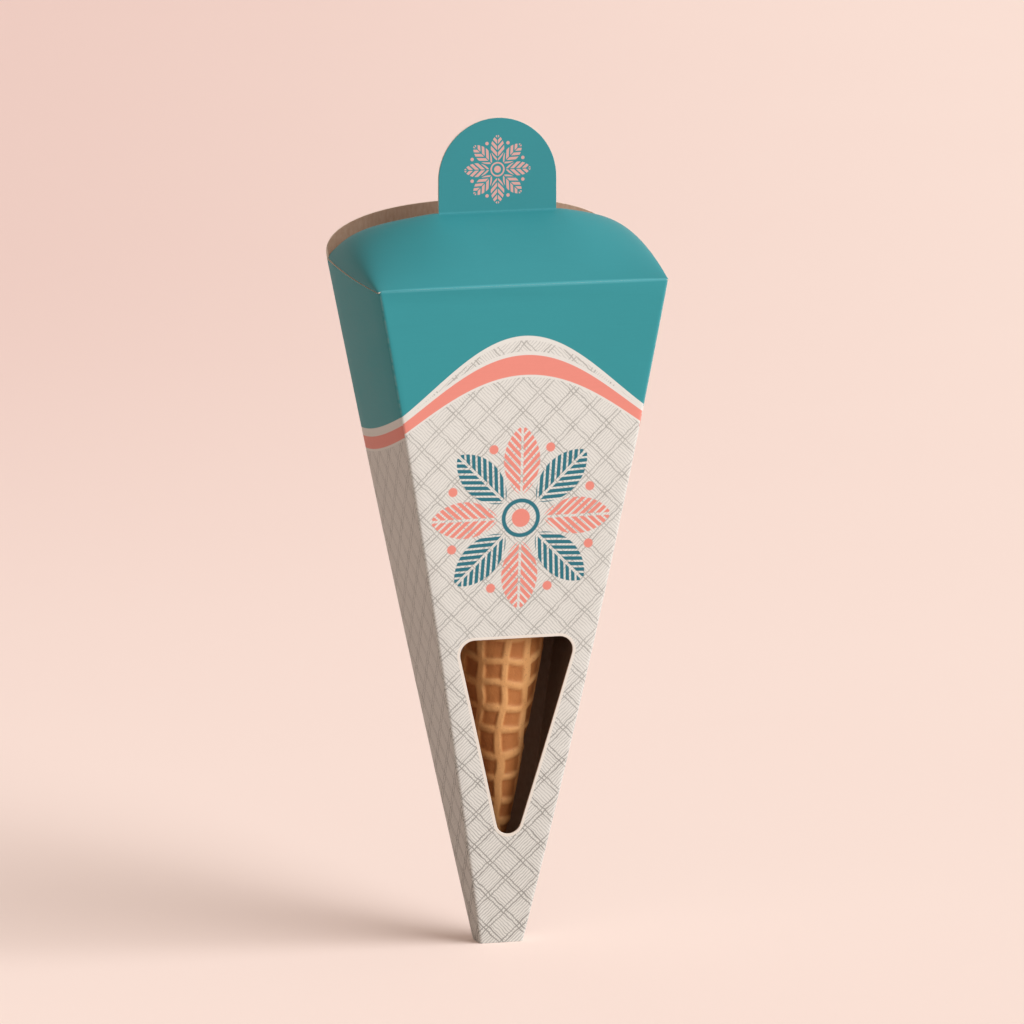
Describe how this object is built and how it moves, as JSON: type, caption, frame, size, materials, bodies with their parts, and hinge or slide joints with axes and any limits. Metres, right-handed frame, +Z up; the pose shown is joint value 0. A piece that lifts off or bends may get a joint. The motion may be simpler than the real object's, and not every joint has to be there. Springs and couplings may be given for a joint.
{
  "type": "ice cream cone sleeve",
  "caption": "Tapered folding carton sleeve with a curved tabbed lid and a rounded window, holding a rolled waffle cone.",
  "frame": {"origin": "centre of the underside of the base, on the surface that the sleeve stands on", "axes": "+Z up along the sleeve, -Y out of the front panel with the window, +X to the right seen from the front"},
  "size_m": [0.0906, 0.056, 0.2454],
  "materials": {
    "printed_board": "matt board printed with a fine hatched lattice, teal and coral above, bare brown inside",
    "teal_board": "matt teal printed board, bare brown inside",
    "wafer": "baked golden wafer with a raised grid"
  },
  "bodies": {
    "sleeve": {"carton": "printed_board", "waffle_cone": "wafer"},
    "lid": {"lid": "teal_board"}
  },
  "joints": [
    {"name": "lid_fold", "type": "hinge", "parent": "sleeve", "child": "lid", "pos_m": [0, -0.0272, 0.1997], "axis": [1, 0, 0], "range_deg": [0, 135]}
  ]
}
